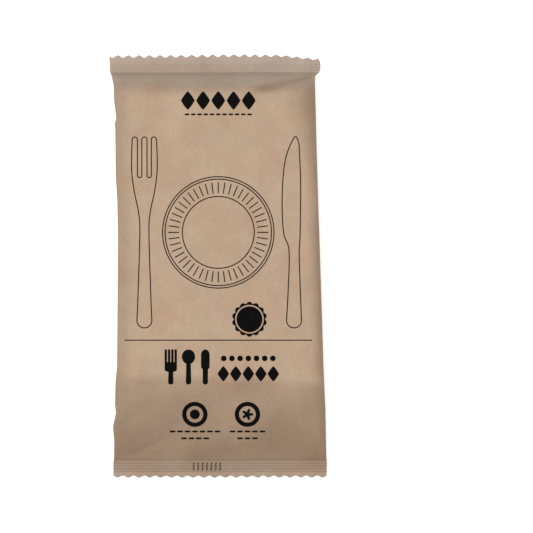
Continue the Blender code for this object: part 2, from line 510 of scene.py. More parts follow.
# %% [markdown]
# ## Kraft paper and ink
#
# Kraft paper is made from long unbleached softwood fibres. It is matte, a warm brown, slightly cloudy
# where the pulp settled unevenly, and it shows single fibres as fine streaks along the machine direction.
# The print is water-based flexo ink: almost black, flat, and a little thin where the paper is rough.
#
# All patterns read Object coordinates in metres. A Mapping node of type Texture divides them by the real
# size of a pattern's features, so that size can be written in millimetres. One helper adds any node with
# its settings and links, and one function turns hex colours to linear ones.

# %% Node helpers
MATH = "ShaderNodeMath"
RANGE = "ShaderNodeMapRange"  # maps one range of numbers to another and holds both ends
MIX = "ShaderNodeMix"  # its colour sockets are known by number: 6 and 7 go in, 2 comes out
COMBINE = "ShaderNodeCombineXYZ"
SEPARATE = "ShaderNodeSeparateXYZ"


def linear(hex_colour):
    """Turns an sRGB hex colour to linear RGBA."""
    channels = [int(hex_colour[i : i + 2], 16) / 255 for i in (1, 3, 5)]
    return [c / 12.92 if c <= 0.04045 else ((c + 0.055) / 1.055) ** 2.4 for c in channels] + [1.0]


def fill(tree, node, inputs):
    """Fills a node's inputs, given in order or by name, with values or with other nodes' outputs."""
    for key, value in inputs.items() if isinstance(inputs, dict) else enumerate(inputs):
        if isinstance(value, bpy.types.NodeSocket):
            tree.links.new(value, node.inputs[key])
        else:
            node.inputs[key].default_value = value


def add(tree, kind, inputs=(), out=0, **settings):
    """Adds a node with its settings and inputs, and gives one of its outputs."""
    node = tree.nodes.new(kind)
    for name, value in settings.items():
        setattr(node, name, value)
    fill(tree, node, inputs)
    return node.outputs[out] if node.outputs else None


def new_material(name):
    """New material with its tree, its object coordinates and its Principled shader."""
    material = bpy.data.materials.new(name)
    material.use_nodes = True
    tree = material.node_tree
    coordinates = add(tree, "ShaderNodeTexCoord", out="Object")
    return material, tree, coordinates, tree.nodes["Principled BSDF"]


def mottle(tree, coordinates, size_mm, detail=2.0, roughness=0.5, turn=0.0):
    """Random pattern with features about size_mm along X, Y and Z, turned by some degrees about Z."""
    size = [length * MM for length in size_mm]
    mapping = {"Vector": coordinates, "Rotation": (0.0, 0.0, math.radians(turn)), "Scale": size}
    place = add(tree, "ShaderNodeMapping", mapping, vector_type="TEXTURE")
    pattern = {"Vector": place, "Scale": 1.0, "Detail": detail, "Roughness": roughness}
    return add(tree, "ShaderNodeTexNoise", pattern, out="Fac")


# %% Kraft paper
# colour of paper hanging clear of the wood, which also serves as painted shade
HANGING_AND_SHADED = "#826E5A"
OVER_WOOD = "#A38D77"
PRESSED = "#9F9083"
# painted shade colour for the slope behind the head crimp
SLOPE_SHADE_COLOUR = "#8E8275"
BLUSH = "#B09080"  # faint rosy patches, where the pulp was redder
FIBRE_SIZE = (0.45, 3.5, 0.45)  # bundles of fibres, wide enough to be seen
STRIPE_PITCH = 1.3  # fine upright stripes that the jaws leave between the ribs of the head crimp


def kraft_paper():
    """Matte brown kraft paper: cloudy, finely fibrous, paler over the wood and on the pressed crimps, with
    painted shade at its sides, on its slopes and in its rib grooves.
    """
    material, tree, coordinates, shader = new_material("brown kraft paper")
    wood_glow_and_shade, pressed, slope_shade, groove = [
        add(tree, "ShaderNodeAttribute", out="Fac", attribute_name=name)
        for name in ("over_wood", "crimped", "rubbed", "groove")
    ]
    colour = linear(HANGING_AND_SHADED)
    # the wood's glow with its painted shade, then painted shade on the head slope, then the pressed crimps
    for share, layer in ((wood_glow_and_shade, OVER_WOOD), (slope_shade, SLOPE_SHADE_COLOUR), (pressed, PRESSED)):
        colour = add(tree, MIX, {0: share, 6: colour, 7: linear(layer)}, out=2, data_type="RGBA")

    cloud = mottle(tree, coordinates, (11.0, 11.0, 11.0), detail=3.0)
    speckle = mottle(tree, coordinates, (1.5, 1.5, 1.5), detail=3.0, roughness=0.7)
    fibres = [mottle(tree, coordinates, FIBRE_SIZE, turn=turn) for turn in (8.0, -27.0, 61.0)]
    felt = add(tree, MATH, fibres[:2], operation="ADD")
    felt = add(tree, MATH, (felt, fibres[2]), operation="ADD")
    felt = add(tree, MATH, (felt, 3.0), operation="DIVIDE")

    place = add(tree, SEPARATE, (coordinates,)).node.outputs
    stripe = add(tree, MATH, (place["X"], math.tau / (STRIPE_PITCH * MM)), operation="MULTIPLY")
    stripe = add(tree, MATH, (stripe,), operation="SINE")
    patchy = mottle(tree, coordinates, (14.0, 40.0, 40.0))
    first_rib = HEAD["first_rib"] * MM
    for span in (
        (patchy, 0.38, 0.62, 0.15, 1.0),
        (pressed, TAIL_PRESSURE, 1.0, 0.0, 1.0),  # none in the tail crimp
        (place["Y"], first_rib, first_rib + 0.4 * MM, 1.0, 0.0),  # and none in the plain margin
    ):
        stripe = add(tree, MATH, (stripe, add(tree, RANGE, span)), operation="MULTIPLY")

    shade = 1.0
    for span in (
        (cloud, 0.3, 0.7, 0.955, 1.045),
        (speckle, 0.3, 0.7, 0.965, 1.035),
        (felt, 0.35, 0.65, 0.94, 1.06),
        # painted shade in the rib grooves
        (groove, 0.0, 1.0, 1.0, 0.77),
        (stripe, -1.0, 1.0, 0.92, 1.08),
    ):
        shade = add(tree, MATH, (shade, add(tree, RANGE, span)), operation="MULTIPLY")
    grey = add(tree, "ShaderNodeCombineColor", (shade, shade, shade))
    colour = add(tree, MIX, {0: 1.0, 6: colour, 7: grey}, out=2, data_type="RGBA", blend_type="MULTIPLY")
    blush = mottle(tree, coordinates, (17.0, 14.0, 17.0), detail=3.0)
    rosy = {0: add(tree, RANGE, (blush, 0.42, 0.66, 0.0, 0.22)), 6: colour, 7: linear(BLUSH)}
    colour = add(tree, MIX, rosy, out=2, data_type="RGBA", blend_type="SOFT_LIGHT")

    height = add(tree, MATH, (speckle, 0.6, felt), operation="MULTIPLY_ADD")
    height = add(tree, MATH, (stripe, 0.5, height), operation="MULTIPLY_ADD")
    fill(tree, shader, {
        "Base Color": colour,
        "Roughness": add(tree, RANGE, (speckle, 0.3, 0.7, 0.78, 0.92)),
        "Normal": add(tree, "ShaderNodeBump", {"Strength": 0.5, "Distance": 0.06 * MM, "Height": height}),
        "IOR": 1.5,
        "Specular IOR Level": 0.25,
    })
    return material


def flexo_ink(name, hex_colour, worn_colour):
    """Flat printed ink, a little thin where the paper under it is rough."""
    material, tree, coordinates, shader = new_material(name)
    fibre = mottle(tree, coordinates, FIBRE_SIZE, turn=8.0)
    speckle = mottle(tree, coordinates, (0.8, 0.8, 0.8), detail=3.0, roughness=0.7)
    rough = add(tree, MATH, (fibre, speckle), operation="MULTIPLY")
    thin = add(tree, RANGE, (rough, 0.30, 0.50, 0.0, 0.6))
    worn = {0: thin, 6: linear(hex_colour), 7: linear(worn_colour)}
    fill(tree, shader, {
        "Base Color": add(tree, MIX, worn, out=2, data_type="RGBA"),
        "Roughness": 0.7,
        "Normal": add(tree, "ShaderNodeBump", {"Strength": 0.3, "Distance": 0.03 * MM, "Height": speckle}),
        "Specular IOR Level": 0.05,
    })
    return material


paper = kraft_paper()
ink = flexo_ink("black flexo ink", "#050404", "#1A1613")
bruise = flexo_ink("kraft paper darkened by the knurl", "#4C3E2F", "#6A5843")
wrap.data.materials.append(paper)
print("materials:", [m.name for m in bpy.data.materials])

# %% [markdown]
# ## Ribs by Geometry Nodes
#
# The jaws press the same row of ribs into both layers of a crimp, so the strip is corrugated rather than
# thick and thin. A small geometry tree raises every point by a wave that depends on Y alone, and it leaves
# alone whatever lies outside the band. It also stores how deep in a groove each point is, so that painted
# shade can darken the paper there. The same tree is used on the fin, which runs into both crimps.
#
# An input of the modifier is set by its socket's identifier, before the object is first evaluated.

# %% Geometry tree helpers


def new_geometry_tree(name, inputs):
    """New tree with a Geometry input and output and the named inputs, as {name: (socket type, value)}."""
    tree = bpy.data.node_groups.new(name, "GeometryNodeTree")
    tree.interface.new_socket("Geometry", in_out="INPUT", socket_type="NodeSocketGeometry")
    tree.interface.new_socket("Geometry", in_out="OUTPUT", socket_type="NodeSocketGeometry")
    for label, (kind, value) in inputs.items():
        socket = tree.interface.new_socket(label, in_out="INPUT", socket_type=kind)
        if value is not None:
            socket.default_value = value
    given = tree.nodes.new("NodeGroupInput").outputs
    return tree, given


def end_tree(tree, geometry, material):
    """Ends the tree in Realize Instances and Set Material."""
    real = add(tree, "GeometryNodeRealizeInstances", (geometry,))
    coated = add(tree, "GeometryNodeSetMaterial", {"Geometry": real, "Material": material})
    add(tree, "NodeGroupOutput", (coated,))


def run_tree(made, tree, values):
    """Runs a geometry tree on an object, keeps the result as its plain mesh, and drops the modifier."""
    modifier = made.modifiers.new(tree.name, "NODES")
    modifier.node_group = tree
    for item in tree.interface.items_tree:
        if item.in_out == "INPUT" and item.name in values:
            modifier[item.identifier] = values[item.name]
    graph = bpy.context.evaluated_depsgraph_get()
    evaluated = made.evaluated_get(graph)
    mesh = bpy.data.meshes.new_from_object(evaluated, preserve_all_data_layers=True, depsgraph=graph)
    made.modifiers.remove(modifier)
    made.data = mesh
    mesh.name = made.name
    mesh.shade_smooth()
    print(made.name, "after", tree.name + ":", len(mesh.polygons), "faces")


# %% Crimp ribs tree


def rib_wave(tree, y, start, direction, pitch, ribs):
    """One crimp's ribs at y, as shares of a crest and of a groove. Half a groove lies beyond the ribs."""
    away = add(tree, MATH, (start, y), operation="SUBTRACT")
    away = add(tree, MATH, (away, direction), operation="MULTIPLY")
    phase = add(tree, MATH, (away, pitch), operation="DIVIDE")
    half_ribs = add(tree, MATH, (ribs, 0.5), operation="MULTIPLY")
    from_middle = add(tree, MATH, (phase, half_ribs), operation="SUBTRACT")
    from_middle = add(tree, MATH, (from_middle,), operation="ABSOLUTE")
    wave = add(tree, MATH, (phase, math.tau), operation="MULTIPLY")
    wave = add(tree, MATH, (wave,), operation="COSINE")
    crest_and_groove = []
    for sign, beyond in ((-0.5, 0.0), (0.5, 0.5)):
        reach = add(tree, MATH, (half_ribs, beyond), operation="ADD")
        inside = add(tree, MATH, (from_middle, reach), operation="LESS_THAN")
        share = add(tree, MATH, (wave, sign, 0.5), operation="MULTIPLY_ADD")
        crest_and_groove.append(add(tree, MATH, (share, inside), operation="MULTIPLY"))
    return crest_and_groove


def crimp_ribs_tree():
    """Tree that corrugates both crimps, and stores where their grooves are, as the strength of the painted
    shade there.
    """
    length = "NodeSocketFloat"
    sizes = {"Ribs": (length, float(RIBS)), "Material": ("NodeSocketMaterial", None)}
    for label, end in (("Head", HEAD), ("Tail", TAIL)):
        sizes[label + " start"] = (length, end["first_rib"] * MM)
        sizes[label + " pitch"] = (length, end["rib_pitch"] * MM)
        sizes[label + " depth"] = (length, end["rib_depth"] * MM)
        sizes[label + " darkening"] = (length, end["groove_shade"])
    tree, given = new_geometry_tree("crimp ribs", sizes)
    y = add(tree, SEPARATE, (add(tree, "GeometryNodeInputPosition"),), out="Y")
    rise = groove = 0.0
    for label, end in (("Head", HEAD), ("Tail", TAIL)):
        start, pitch = given[label + " start"], given[label + " pitch"]
        crest, dip = rib_wave(tree, y, start, float(end["sign"]), pitch, given["Ribs"])
        rise = add(tree, MATH, (crest, given[label + " depth"], rise), operation="MULTIPLY_ADD")
        groove = add(tree, MATH, (dip, given[label + " darkening"], groove), operation="MULTIPLY_ADD")
    lifted = {"Geometry": given["Geometry"], "Offset": add(tree, COMBINE, {"Z": rise})}
    moved = add(tree, "GeometryNodeSetPosition", lifted)
    grooved = {"Geometry": moved, "Name": "groove", "Value": groove}
    stored = add(tree, "GeometryNodeStoreNamedAttribute", grooved, data_type="FLOAT", domain="POINT")
    end_tree(tree, stored, given["Material"])
    return tree


ribs_tree = crimp_ribs_tree()
run_tree(wrap, ribs_tree, {"Material": paper})

# %% [markdown]
# ## Fin seal on the back
#
# The two edges of the web are sealed face to face, and the fin that they make is folded over and pressed
# against the back. It is a separate thin strip here, which follows the back from one cut end to the other.
# Rollers leave a knurl of short slanted dashes along all of it.

# %% Fin seal
FIN_LEFT = -11.2
FIN_RIGHT = 1.4
FIN_COLUMNS = 20
FIN_GAP = 0.03
FIN_KNURL_ROOM = 0.07  # the knurl stands out of the fin by less than this
FIN_PRESSURE = 0.6  # how hard its layers are pressed together


def back_height(x):
    """Height of the wrap's back at each row, at the given places across."""
    _, bottom = heights_at(rows)
    return bottom[:, None] + crimp_wave(x, rows[:, None])


def fin_points(offset):
    """One face of the fin, offset below the back."""
    x = np.linspace(FIN_LEFT, FIN_RIGHT, FIN_COLUMNS + 1)[None, :] + np.zeros((len(rows), 1))
    free_edge = 0.12 * np.sin(rows / 9.0) + 0.10 * np.sin(rows / 3.7 + 1.0)
    x = x + free_edge[:, None] * (FIN_RIGHT - x) / (FIN_RIGHT - FIN_LEFT)
    z = back_height(x) - offset
    y = rows[:, None] + zigzag[:, None] * cut_offset(x, rows[:, None])
    return np.stack([x, y, z], axis=2)


def closed_strip(name, upper, lower):
    """Closed thin solid between two grids of points, the upper one facing up."""
    row_total, column_total = upper.shape[:2]
    count = row_total * column_total
    faces = grid_faces(row_total, column_total)
    faces += grid_faces(row_total, column_total, count, flip=True)
    rim = list(range(column_total))
    rim += [r * column_total + column_total - 1 for r in range(1, row_total)]
    rim += [(row_total - 1) * column_total + c for c in range(column_total - 2, -1, -1)]
    rim += [r * column_total for r in range(row_total - 2, 0, -1)]
    for here, after in zip(rim, rim[1:] + rim[:1]):
        faces.append((here, after, after + count, here + count))
    points = np.concatenate([upper.reshape(-1, 3), lower.reshape(-1, 3)])
    return new_object(name, points, faces)


fin = closed_strip("fin_seal", fin_points(FIN_GAP), fin_points(FIN_THICKNESS - FIN_KNURL_ROOM))
store_even(fin, FIN_CONTACT, FIN_PRESSURE)
run_tree(fin, ribs_tree, {"Material": paper})

# %% [markdown]
# ## Motifs laid on the paper
#
# Print and knurl marks repeat, and both have to follow the paper. One geometry tree does both jobs. It
# makes a block of points, puts a small motif on each, makes the copies real, and then sends a ray from
# every vertex to the paper. The vertex keeps its own small height above the place that the ray hits.
#
# A motif is a flat patch fine enough to bend with the paper, or a low pad for a mark that stands out.

# %% Tree that lays things on the paper
RAY_START = 50.0  # mm above or below the paper
RAY_LENGTH = 100.0


def laid_on_paper(tree, geometry, paper_object, side):
    """Moves geometry along Z on to the paper. side is 1 for the printed face and -1 for the back."""
    place = add(tree, SEPARATE, (add(tree, "GeometryNodeInputPosition"),)).node.outputs
    start_z = add(tree, MATH, (side, RAY_START * MM), operation="MULTIPLY")
    down_z = add(tree, MATH, (side, -1.0), operation="MULTIPLY")
    hit = add(tree, "GeometryNodeRaycast", {
        "Target Geometry": add(tree, "GeometryNodeObjectInfo", {"Object": paper_object}, out="Geometry"),
        "Source Position": add(tree, COMBINE, (place["X"], place["Y"], start_z)),
        "Ray Direction": add(tree, COMBINE, {"Z": down_z}),
        "Ray Length": RAY_LENGTH * MM,
    }, out="Hit Position")
    hit_z = add(tree, SEPARATE, (hit,), out="Z")
    new_z = add(tree, MATH, (side, place["Z"], hit_z), operation="MULTIPLY_ADD")
    landed = add(tree, COMBINE, (place["X"], place["Y"], new_z))
    return add(tree, "GeometryNodeSetPosition", {"Geometry": geometry, "Position": landed})


def motif_block_tree():
    """Tree that lays a block of rows and columns of one motif on the paper."""
    number, length, thing = "NodeSocketInt", "NodeSocketFloat", "NodeSocketObject"
    tree, given = new_geometry_tree("motif block", {
        "Motif": (thing, None),
        "Paper": (thing, None),
        "Columns": (number, 1),
        "Rows": (number, 1),
        "Pitch X": (length, 0.0),
        "Pitch Y": (length, 0.0),
        "Centre X": (length, 0.0),
        "Centre Y": (length, 0.0),
        "Side": (length, 1.0),
        "Material": ("NodeSocketMaterial", None),
    })
    index = add(tree, "GeometryNodeInputIndex")
    column = add(tree, MATH, (index, given["Columns"]), operation="MODULO")
    row = add(tree, MATH, (index, 0.5), operation="ADD")
    row = add(tree, MATH, (row, given["Columns"]), operation="DIVIDE")
    row = add(tree, MATH, (row,), operation="FLOOR")
    spot = []
    for axis, total, cell in (("X", given["Columns"], column), ("Y", given["Rows"], row)):
        middle = add(tree, MATH, (total, 0.5, -0.5), operation="MULTIPLY_ADD")
        steps = add(tree, MATH, (cell, middle), operation="SUBTRACT")
        placing = (steps, given["Pitch " + axis], given["Centre " + axis])
        spot.append(add(tree, MATH, placing, operation="MULTIPLY_ADD"))
    cells = add(tree, MATH, (given["Columns"], given["Rows"]), operation="MULTIPLY")
    points = add(tree, "GeometryNodePoints", {"Count": cells, "Position": add(tree, COMBINE, spot)})
    motif = add(tree, "GeometryNodeObjectInfo", {"Object": given["Motif"]}, out="Geometry")
    copies = add(tree, "GeometryNodeInstanceOnPoints", {"Points": points, "Instance": motif})
    real = add(tree, "GeometryNodeRealizeInstances", (copies,))
    end_tree(tree, laid_on_paper(tree, real, given["Paper"], given["Side"]), given["Material"])
    return tree


motif_tree = motif_block_tree()
print("tree", motif_tree.name, "has", len(motif_tree.nodes), "nodes")

# %% Motif meshes
INK_LIFT = 0.035  # mm between paper and ink, so that the two never share a surface
PATCH_CELL = 0.55  # mm from ring to ring of a patch, at most
BAR_CELLS = 6
BAR_TIP = 0.02  # half-width of a bar's very end, so that no face there is empty


def patch(name, outer, inner=None, spokes=60):
    """Flat patch in polar form, from an inner to an outer radius, each a function of the angle."""
    angles = np.arange(spokes) * math.tau / spokes
    outer_radius = np.array([outer(a) for a in angles])
    inner_radius = np.array([inner(a) for a in angles]) if inner else np.zeros(spokes)
    ring_count = max(2, int(np.ceil((outer_radius - inner_radius).max() / PATCH_CELL)))
    shares = np.linspace(0.0, 1.0, ring_count + 1)
    points, faces = [], []
    if inner is None:
        shares = shares[1:]
        points.append((0.0, 0.0, INK_LIFT))
    for share in shares:
        radius = inner_radius + (outer_radius - inner_radius) * share
        points += [(r * math.cos(a), r * math.sin(a), INK_LIFT) for r, a in zip(radius, angles)]
    first = 1 if inner is None else 0
    for s in range(spokes):
        after = (s + 1) % spokes
        if inner is None:
            faces.append((0, 1 + s, 1 + after))
        for ring in range(len(shares) - 1):
            here = first + ring * spokes
            faces.append((here + s, here + spokes + s, here + spokes + after, here + after))
    return new_object(name, points, faces)


def disc(radius):
    """Radius function of a circle."""
    return lambda angle: radius


def lozenge(half_width, half_height, power=1.15):
    """Radius function of a lozenge with slightly rounded sides."""
    def radius(angle):
        across = abs(math.cos(angle) / half_width) ** power
        up = abs(math.sin(angle) / half_height) ** power
        return (across + up) ** (-1.0 / power)
    return radius


def scallop(radius, lobes, depth):
    """Radius function of a disc with round lobes along its edge."""
    return lambda angle: radius - depth * (1.0 - abs(math.sin(lobes * angle / 2)))


def petals(radius, lobes, depth):
    """Radius function of a simple flower."""
    return lambda angle: radius + depth * math.cos(lobes * angle)


def bar(name, length, width, slant=0.0, lift=INK_LIFT, crown=0.0):
    """Stroke with round ends, flat or raised by crown along its middle."""
    points = []
    for turn in np.linspace(0.0, math.pi, BAR_CELLS + 1):
        along = -math.cos(turn) * length / 2
        into_end = max(0.0, abs(along) - (length - width) / 2)
        half = math.sqrt(max(0.0, (width / 2) ** 2 - into_end**2)) + BAR_TIP
        for up in (-1.0, -0.5, 0.0, 0.5, 1.0):
            x, y = along, half * up
            points.append((
                x * math.cos(slant) - y * math.sin(slant),
                x * math.sin(slant) + y * math.cos(slant),
                lift + crown * (1.0 - up * up),
            ))
    return new_object(name, points, grid_faces(BAR_CELLS + 1, 5))


def turn_faces(made, side):
    """Turns over every face of a thin piece that looks away from its side: 1 is up and -1 is down."""
    for polygon in made.data.polygons:
        if polygon.normal.z * side < 0:
            polygon.flip()
    made.data.update()


def lay_motif(name, motif, centre, material, columns=1, lines=1, pitch=(0.0, 0.0), onto=wrap, side=1.0):
    """Lays a block of one motif on a piece as a new piece, and removes the motif."""
    piece = new_object(name, [(0.0, 0.0, 0.0)], [])
    run_tree(piece, motif_tree, {
        "Motif": motif, "Paper": onto, "Columns": columns, "Rows": lines,
        "Pitch X": pitch[0] * MM, "Pitch Y": pitch[1] * MM,
        "Centre X": centre[0] * MM, "Centre Y": centre[1] * MM,
        "Side": side, "Material": material,
    })
    turn_faces(piece, side)
    bpy.data.objects.remove(motif)
    return piece


# %% [markdown]
# ## The print
#
# The printed face carries a plain generic design: a row of lozenges at the head, a thin-line place
# setting with a fluted plate in the middle, a scalloped seal, three bold cutlery shapes with a band of
# dots and lozenges, two round marks, and rows of short dashes where small print would stand. Solid fields
# are motifs. The line drawing is made the other way round: each outline is a chain of points, and a
# second tree turns a chain into a flat ribbon of the line's width before it is laid on the paper.

# %% Solid fields of the print
SEAL = (14.0, -23.2)
LEFT_MARK = (-10.1, -65.2)
RIGHT_MARK = (13.1, -65.2)
MARKS = (1.5, -65.2)  # the middle between the two

printed = [
    lay_motif("print_lozenge_row", patch("motif", lozenge(3.0, 4.1)), (0.3, 73.0), ink, 5, 1, (6.7, 0.0)),
    lay_motif("print_tagline", bar("motif", 2.1, 0.75), (0.3, 66.9), ink, 11, 1, (2.75, 0.0)),
    lay_motif("print_seal_rim", patch("motif", scallop(7.7, 14, 0.9), disc(6.3), 168), SEAL, ink),
    lay_motif("print_seal", patch("motif", disc(5.7)), SEAL, ink),
    lay_motif("print_dot_row", patch("motif", disc(1.25), spokes=24), (13.5, -40.4), ink, 7, 1, (3.6, 0.0)),
    lay_motif("print_block_row", patch("motif", lozenge(2.5, 3.4)), (13.5, -47.2), ink, 5, 1, (5.5, 0.0)),
    lay_motif("print_mark_rims", patch("motif", disc(5.6), disc(3.7)), MARKS, ink, 2, 1, (23.2, 0.0)),
    lay_motif("print_mark_dot", patch("motif", disc(2.2)), LEFT_MARK, ink),
    lay_motif("print_mark_flower", patch("motif", petals(1.9, 5, 0.75)), RIGHT_MARK, ink),
]
for name, x, y, dashes in (
    ("print_caption_left", LEFT_MARK[0], -72.9, 7),
    ("print_caption_left_low", LEFT_MARK[0], -76.0, 4),
    ("print_caption_right", RIGHT_MARK[0], -72.9, 5),
    ("print_caption_right_low", RIGHT_MARK[0], -76.0, 3),
):
    printed.append(lay_motif(name, bar("motif", 2.6, 0.8), (x, y), ink, dashes, 1, (3.3, 0.0)))

# %% Line tree
LINE_WIDTH = 0.46
LINE_STEP = 0.5


def inked_line_tree():
    """Tree that turns chains of points into flat ribbons and lays them on the paper."""
    tree, given = new_geometry_tree("inked line", {
        "Width": ("NodeSocketFloat", LINE_WIDTH * MM),
        "Step": ("NodeSocketFloat", LINE_STEP * MM),
        "Paper": ("NodeSocketObject", None),
        "Material": ("NodeSocketMaterial", None),
    })
    curve = add(tree, "GeometryNodeMeshToCurve", {"Mesh": given["Geometry"]})
    evened = add(tree, "GeometryNodeResampleCurve", {"Curve": curve, "Length": given["Step"]}, mode="LENGTH")
    level = add(tree, "GeometryNodeSetCurveNormal", {"Curve": evened}, mode="Z_UP")
    nib_ends = [
        add(tree, COMBINE, (add(tree, MATH, (given["Width"], share), operation="MULTIPLY"),))
        for share in (-0.5, 0.5)
    ]
    nib = add(tree, "GeometryNodeCurvePrimitiveLine", {"Start": nib_ends[0], "End": nib_ends[1]})
    ribbon = add(tree, "GeometryNodeCurveToMesh", {"Curve": level, "Profile Curve": nib})
    end_tree(tree, laid_on_paper(tree, ribbon, given["Paper"], 1.0), given["Material"])
    return tree


line_tree = inked_line_tree()


def chain_object(name, chains):
    """Object made of edges only. Each chain is a list of (x, y) and whether it is closed."""
    points, edges = [], []
    for chain, closed in chains:
        first = len(points)
        points += [(x * MM, y * MM, INK_LIFT * MM) for x, y in chain]
        edges += [(first + i, first + i + 1) for i in range(len(chain) - 1)]
        if closed:
            edges.append((first + len(chain) - 1, first))
    mesh = bpy.data.meshes.new(name)
    mesh.from_pydata(points, edges, [])
    made = bpy.data.objects.new(name, mesh)
    bpy.context.scene.collection.objects.link(made)
    return made


# %% Outlines of the place setting
CURVE_STEPS = 8  # points from one place of a curve to the next
HANDLE_END = 3.3  # radius of the round end of a handle


def arc(centre, radius, start, end, steps):
    """Points of an arc, in degrees."""
    turns = np.radians(np.linspace(start, end, steps + 1))
    return [(centre[0] + radius * math.cos(a), centre[1] + radius * math.sin(a)) for a in turns]


def smooth_through(places):
    """Smooth open line through a few places, by Catmull-Rom."""
    padded = np.array([places[0], *places, places[-1]])
    line = []
    for a, b, c, d in zip(padded, padded[1:], padded[2:], padded[3:]):
        bend = 2 * a - 5 * b + 4 * c - d
        twist = 3 * b - a - 3 * c + d
        for t in np.arange(CURVE_STEPS) / CURVE_STEPS:
            line.append(tuple(0.5 * (2 * b + (c - a) * t + bend * t**2 + twist * t**3)))
    return line + [places[-1]]


def mirrored(line, axis_x):
    """The same line on the other side of an upright axis, run backwards."""
    return [(2 * axis_x - x, y) for x, y in reversed(line)]


def fork_outline(axis_x, tip_y, foot_y):
    """Whole fork with three tines, drawn as one closed outline."""
    tine, slot, slot_depth = 2.3, 1.9, 17.0
    half_head = (3 * tine + 2 * slot) / 2
    neck_y = tip_y - 33.0
    shoulder = smooth_through([
        (axis_x + half_head, tip_y - tine / 2), (axis_x + half_head + 0.3, tip_y - 14.0),
        (axis_x + half_head - 0.9, tip_y - 24.0), (axis_x + 2.6, neck_y), (axis_x + 2.0, neck_y - 9.0),
        (axis_x + 2.9, foot_y + 12.0), (axis_x + HANDLE_END, foot_y + HANDLE_END),
    ])
    foot = arc((axis_x, foot_y + HANDLE_END), HANDLE_END, 0, -180, 16)
    tines = []
    for i in range(3):
        left = axis_x - half_head + i * (tine + slot)
        tines += arc((left + tine / 2, tip_y - tine / 2), tine / 2, 180, 0, 8)
        if i < 2:
            tines += arc((left + tine + slot / 2, tip_y - slot_depth), slot / 2, 180, 360, 8)
    return tines + shoulder[1:] + foot[1:] + mirrored(shoulder, axis_x)[1:-1]


def knife_outline(axis_x, tip_y, foot_y):
    """Whole table knife, with its cutting edge towards the plate."""
    back = smooth_through([
        (axis_x + 2.2, tip_y - 3.0), (axis_x + 2.9, tip_y - 20.0), (axis_x + 2.7, tip_y - 42.0),
        (axis_x + 2.3, tip_y - 52.0), (axis_x + 3.0, foot_y + 10.0),
        (axis_x + HANDLE_END, foot_y + HANDLE_END),
    ])
    foot = arc((axis_x, foot_y + HANDLE_END), HANDLE_END, 0, -180, 16)
    edge = smooth_through([
        (axis_x - HANDLE_END, foot_y + HANDLE_END), (axis_x - 2.6, foot_y + 16.0),
        (axis_x - 2.2, tip_y - 50.0), (axis_x - 4.6, tip_y - 42.0), (axis_x - 5.2, tip_y - 26.0),
        (axis_x - 3.8, tip_y - 10.0), (axis_x + 0.3, tip_y), (axis_x + 2.2, tip_y - 3.0),
    ])
    return back + foot[1:] + edge[1:-1]


PLATE_CENTRE = (0.3, 15.0)
TOP_OF_ART = 57.0
FOOT_OF_ART = -27.0
RULE_Y = -32.4  # of the thin line under the place setting


def circle(centre, radius):
    """Closed circle."""
    return arc(centre, radius, 0, 360, 96)[:-1]


def flutes(centre, inner, outer, count):
    """Short radial lines, like the flutes pressed into a paper plate's rim."""
    chains = []
    for turn in np.arange(count) * math.tau / count:
        ray = np.array((math.cos(turn), math.sin(turn)))
        chains.append(([centre + inner * ray, centre + outer * ray], False))
    return chains


place_setting = chain_object("print_place_setting", [
    (fork_outline(-32.2, TOP_OF_ART, FOOT_OF_ART), True),
    (knife_outline(33.6, TOP_OF_ART, FOOT_OF_ART), True),
    (circle(PLATE_CENTRE, 24.5), True),
    (circle(PLATE_CENTRE, 23.4), True),
    (circle(PLATE_CENTRE, 15.8), True),
    *flutes(PLATE_CENTRE, 17.2, 22.0, 48),
    ([(-41.0, RULE_Y), (41.5, RULE_Y)], False),
])
run_tree(place_setting, line_tree, {"Paper": wrap, "Material": ink})
turn_faces(place_setting, 1.0)
printed.append(place_setting)

# %% [markdown]
# ## Bold cutlery shapes
#
# The three bold shapes are solid silhouettes about as tall as a large printed numeral. Each is a strip
# whose half-width is a function of the height, which gives a spoon, a knife and the stem of a fork.

# %% Bold shapes
BOLD_STEP = 0.3  # mm from row to row of a bold shape
NARROWEST = 0.05  # of its width, which a shape keeps at its very end


def silhouette(name, height, half_width):
    """Upright solid shape about the origin whose half-width is a function of the share of its height."""
    row_total = int(height / BOLD_STEP)
    points = []
    for r in range(row_total + 1):
        share = r / row_total
        half = half_width(share)
        y = -height / 2 + height * share
        points += [(half * across, y, INK_LIFT) for across in (-1.0, -0.5, 0.0, 0.5, 1.0)]
    return new_object(name, points, grid_faces(row_total + 1, 5, flip=True))


def round_end(share, length):
    """Width left at a share of the height, where the shape ends round over a length at share 0."""
    return max(math.sqrt(max(0.0, 1.0 - (1.0 - min(share / length, 1.0)) ** 2)), NARROWEST)


def spoon_half(share):
    """Half-width of the spoon: a round-ended stem and an oval bowl."""
    stem = 0.85 + 0.35 * (1.0 - share) if share < 0.62 else 0.0
    bowl = 2.9 * math.sqrt(max(0.0, 1.0 - ((share - 0.79) / 0.21) ** 2))
    return max(stem, bowl) * round_end(share, 0.07)


def knife_half(share):
    """Half-width of the knife: a handle, a neck and a broad blade with a round point."""
    width = 1.15 if share < 0.42 else 1.15 + 0.75 * float(ease((share - 0.42) / 0.08))
    return width * round_end(1.0 - share, 0.16) * round_end(share, 0.07)


def fork_half(share):
    """Half-width of the fork below its tines."""
    stem = 0.85 + 0.35 * (1.0 - share)
    head = 2.7 * float(ease((share - 0.50) / 0.14))
    return max(stem, head) * round_end(share, 0.09)


